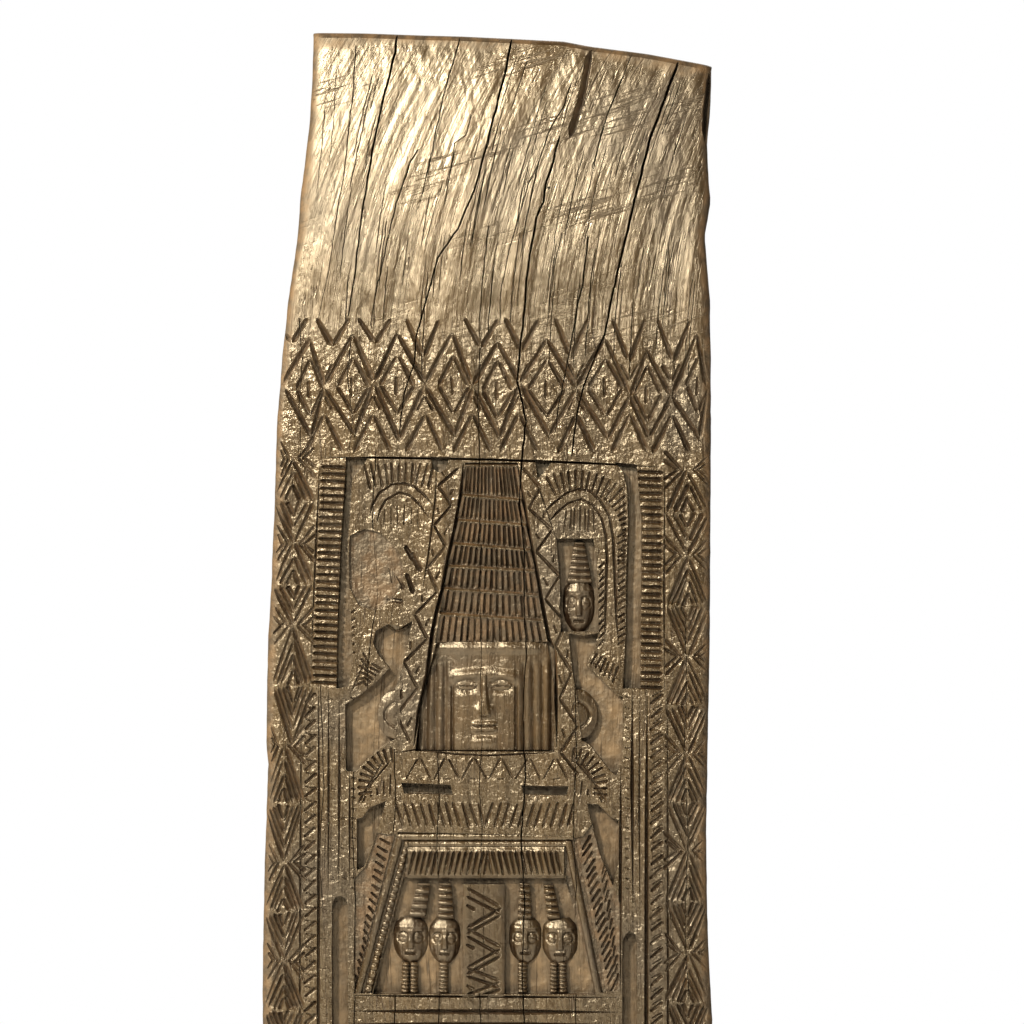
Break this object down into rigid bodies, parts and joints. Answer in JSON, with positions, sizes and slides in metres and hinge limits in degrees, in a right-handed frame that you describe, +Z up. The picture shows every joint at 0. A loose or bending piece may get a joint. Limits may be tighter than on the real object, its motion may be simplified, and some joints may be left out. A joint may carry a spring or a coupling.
{
  "type": "carved headrest board",
  "caption": "Tall hewn hardwood headrest board: plain polished head end above a panel of carved relief, with dovetail battens, pegs and iron staples tying the splits at the back.",
  "frame": {"origin": "centre of the part's box at the bottom of its foot", "axes": "+Z up along the plank's length, -Y out of the carved front face, +X to the viewer's right when facing the carving"},
  "size_m": [0.2712, 0.048, 0.953],
  "materials": {
    "plank_wood": "old dark hardwood, handled to a polished patina",
    "batten_wood": "split hardwood, knife-trimmed, dull",
    "peg_wood": "whittled peg, end grain showing",
    "forged_iron": "hand-forged, dark with rust in the hollows"
  },
  "bodies": {
    "root": {"carved_plank": "plank_wood", "upper_batten": "batten_wood", "middle_batten": "batten_wood", "lower_batten": "batten_wood", "upper_batten_pegs": "peg_wood", "middle_batten_pegs": "peg_wood", "lower_batten_pegs": "peg_wood", "upper_split_staples": "forged_iron", "lower_split_staples": "forged_iron"}
  },
  "joints": []
}
